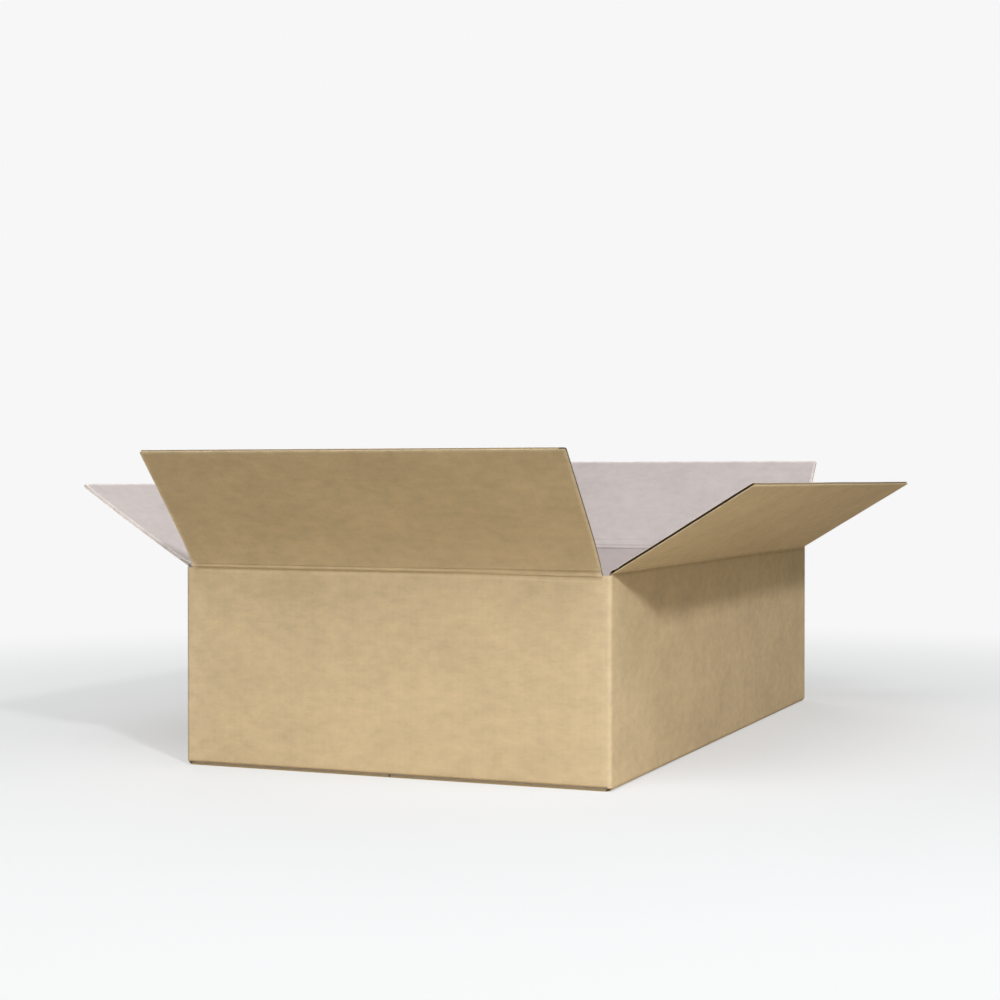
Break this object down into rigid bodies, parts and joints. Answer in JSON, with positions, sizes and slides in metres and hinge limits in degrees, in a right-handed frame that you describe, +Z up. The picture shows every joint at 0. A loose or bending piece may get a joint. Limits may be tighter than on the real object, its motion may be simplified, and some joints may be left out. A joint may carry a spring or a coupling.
{
  "type": "open shipping carton",
  "caption": "Open rectangular corrugated shipping carton with a closed base and four short hinged top flaps that lean outwards.",
  "frame": {"origin": "middle of the base, on the surface that the carton stands on", "axes": "+X along the short front and back walls towards the right wall, +Y along the long side walls from front to back, +Z up"},
  "size_m": [0.3819, 0.5213, 0.1677],
  "materials": {
    "kraft_board": "matte"
  },
  "bodies": {
    "carton": {"carton": "kraft_board"},
    "flap_front": {"flap_front": "kraft_board"},
    "flap_back": {"flap_back": "kraft_board"},
    "flap_left": {"flap_left": "kraft_board"},
    "flap_right": {"flap_right": "kraft_board"}
  },
  "joints": [
    {"name": "front_fold", "type": "hinge", "parent": "carton", "child": "flap_front", "pos_m": [0, -0.2075, 0.1047], "axis": [1, 0, 0], "range_deg": [-130, 130]},
    {"name": "back_fold", "type": "hinge", "parent": "carton", "child": "flap_back", "pos_m": [0, 0.2075, 0.1047], "axis": [-1, 0, 0], "range_deg": [-132, 128]},
    {"name": "left_fold", "type": "hinge", "parent": "carton", "child": "flap_left", "pos_m": [-0.12, 0, 0.1065], "axis": [0, -1, 0], "range_deg": [-149, 111]},
    {"name": "right_fold", "type": "hinge", "parent": "carton", "child": "flap_right", "pos_m": [0.12, 0, 0.1065], "axis": [0, 1, 0], "range_deg": [-148.5, 111.5]}
  ]
}
